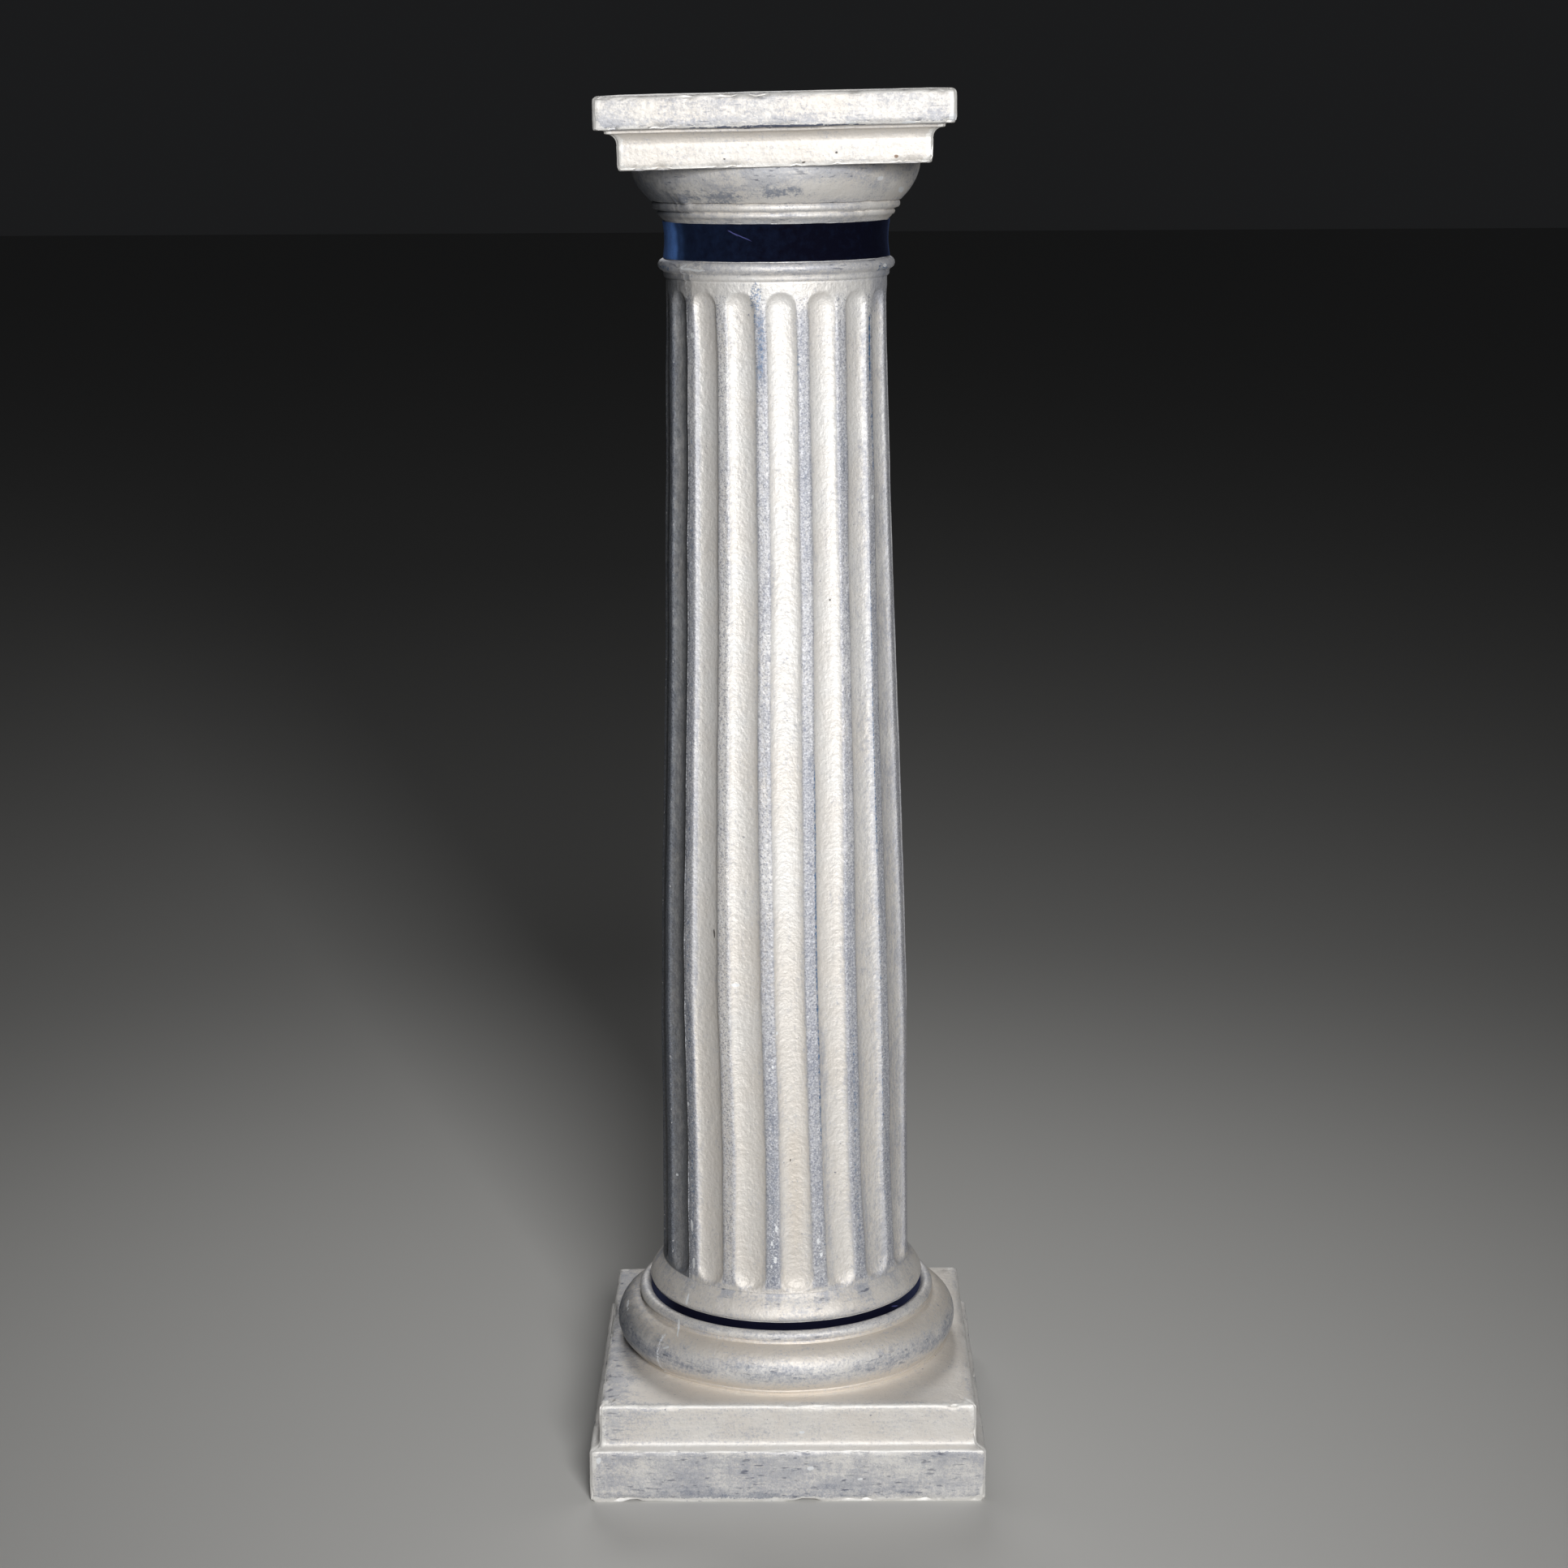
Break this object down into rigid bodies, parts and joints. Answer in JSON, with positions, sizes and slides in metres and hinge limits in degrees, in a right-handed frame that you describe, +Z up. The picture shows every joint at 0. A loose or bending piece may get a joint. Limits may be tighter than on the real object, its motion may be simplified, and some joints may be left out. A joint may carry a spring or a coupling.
{
  "type": "fluted pedestal column",
  "caption": "Free-standing fluted Doric pedestal column with a square abacus, moulded capital, swelling shaft, round base on a stepped square plinth, and two velvet ribbons.",
  "frame": {"origin": "middle of the plinth's flat underside", "axes": "+Z up the column, from the underside to the abacus; -Y is the front seen in the picture; +X to the right of that front, square to the plinth's side"},
  "size_m": [0.3514, 0.3514, 1.2225],
  "materials": {
    "painted_plaster": "satin pearly cream brushed over blue-grey, on cast plaster",
    "navy_velvet": "short-pile velvet"
  },
  "bodies": {
    "root": {"column": "painted_plaster", "neck_ribbon": "navy_velvet", "base_ribbon": "navy_velvet"}
  },
  "joints": []
}
